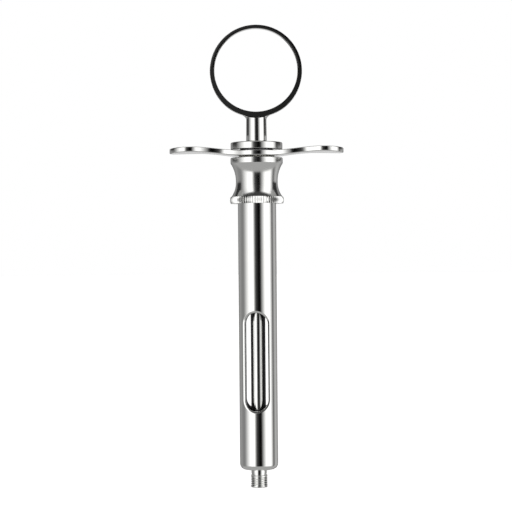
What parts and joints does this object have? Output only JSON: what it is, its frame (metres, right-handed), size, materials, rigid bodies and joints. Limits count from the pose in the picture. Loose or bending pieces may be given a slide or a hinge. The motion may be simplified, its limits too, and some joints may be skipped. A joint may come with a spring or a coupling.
{
  "type": "aspirating dental syringe",
  "caption": "Metal cartridge syringe with a windowed barrel, threaded needle tip, waisted knurled grip nut, winged finger plate, harpoon plunger and swivelling thumb ring.",
  "frame": {"origin": "centre of the free end face of the needle thread", "axes": "+Z along the barrel axis from the needle end to the thumb ring, X along the finger plate and across the thumb ring, Y along the thumb ring's axis"},
  "size_m": [0.058, 0.0178, 0.1539],
  "materials": {
    "barrel_steel": "polished stainless steel",
    "head_steel": "polished stainless steel",
    "plate_steel": "polished stainless steel",
    "ring_steel": "polished stainless steel",
    "rod_steel": "ground stainless steel",
    "turned_steel": "turned stainless steel",
    "spring_steel": "drawn stainless spring wire",
    "bearing_plastic": "white autoclavable plastic"
  },
  "bodies": {
    "barrel": {"barrel_tube": "barrel_steel", "needle_adaptor": "turned_steel"},
    "head": {"head_core": "turned_steel", "slip_washer": "bearing_plastic", "plate_washer": "turned_steel", "top_disc": "head_steel", "rod_bush": "bearing_plastic", "spring_seat_washer": "turned_steel", "thrust_spring": "spring_steel", "sleeve_retaining_ring": "turned_steel"},
    "nut": {"grip_nut": "head_steel"},
    "plate": {"finger_plate": "plate_steel"},
    "thrust": {"thrust_sleeve": "turned_steel"},
    "plunger": {"plunger_rod": "rod_steel", "piston_foot": "rod_steel", "harpoon": "rod_steel"},
    "ring": {"ring_ferrule": "ring_steel", "ferrule_pin": "turned_steel", "thumb_ring": "ring_steel"}
  },
  "joints": [
    {"name": "head_lift", "type": "slide", "parent": "barrel", "child": "head", "axis": [0, 0, 1], "range_m": [0, 0.008]},
    {"name": "nut_turn", "type": "hinge", "parent": "head", "child": "nut", "pos_m": [0, 0, 0.1], "axis": [0, 0, 1], "range_deg": [0, 2880]},
    {"name": "plate_turn", "type": "hinge", "parent": "head", "child": "plate", "pos_m": [0, 0, 0.111], "axis": [0, 0, 1], "continuous": true},
    {"name": "thrust_slide", "type": "slide", "parent": "head", "child": "thrust", "axis": [0, 0, 1], "range_m": [0, 0.006], "stiffness_N_per_m": 150, "springref_m": -0.012, "deforming": ["thrust_spring"]},
    {"name": "plunger_slide", "type": "slide", "parent": "head", "child": "plunger", "axis": [0, 0, 1], "range_m": [0, 0.064]},
    {"name": "ring_turn", "type": "hinge", "parent": "plunger", "child": "ring", "pos_m": [0, 0, 0.119], "axis": [0, 0, 1], "continuous": true}
  ],
  "couplings": [
    {"joint": "nut_turn", "follows": "head_lift", "rad_per_m": 6283.2}
  ]
}
